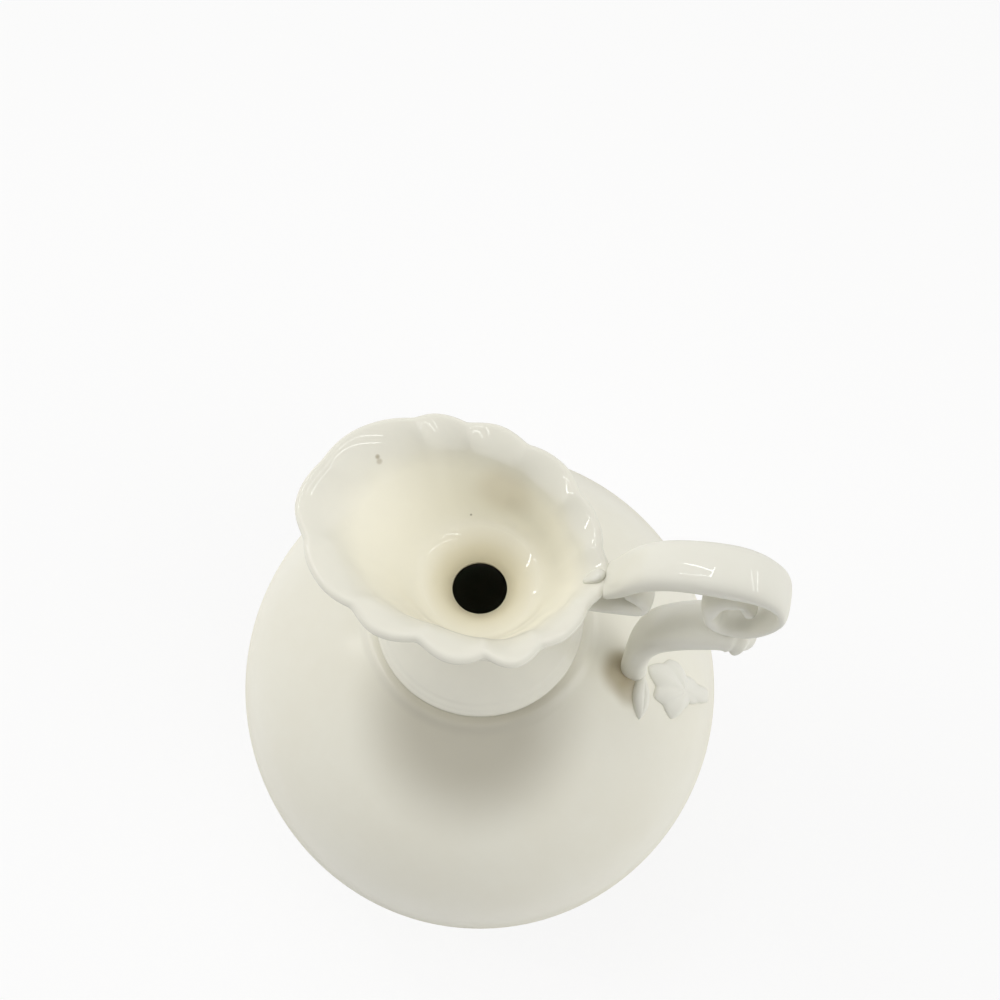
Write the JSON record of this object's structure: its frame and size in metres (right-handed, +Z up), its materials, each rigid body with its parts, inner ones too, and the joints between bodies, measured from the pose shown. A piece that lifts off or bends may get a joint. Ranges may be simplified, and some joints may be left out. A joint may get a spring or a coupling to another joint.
{
  "type": "ewer",
  "caption": "Glazed ceramic ewer with a round body, a narrow throat, a scalloped funnel mouth with a pouring lip, and a double scroll handle with applied leaves.",
  "frame": {"origin": "on the body's axis, on the surface that the foot ring stands on", "axes": "+Z up along the body's axis, +X towards the handle, the spout towards -X"},
  "size_m": [0.2, 0.2, 0.2337],
  "materials": {
    "glaze": "glossy cream glaze"
  },
  "bodies": {
    "root": {"foot_ring": "glaze", "lower_bowl": "glaze", "shoulder_dome": "glaze", "neck_bead": "glaze", "neck_bell": "glaze", "mouth_funnel": "glaze", "upper_scroll": "glaze", "lower_scroll": "glaze", "root_curl": "glaze", "thumb_leaf": "glaze", "ivy_leaf": "glaze", "side_leaf": "glaze"}
  },
  "joints": []
}
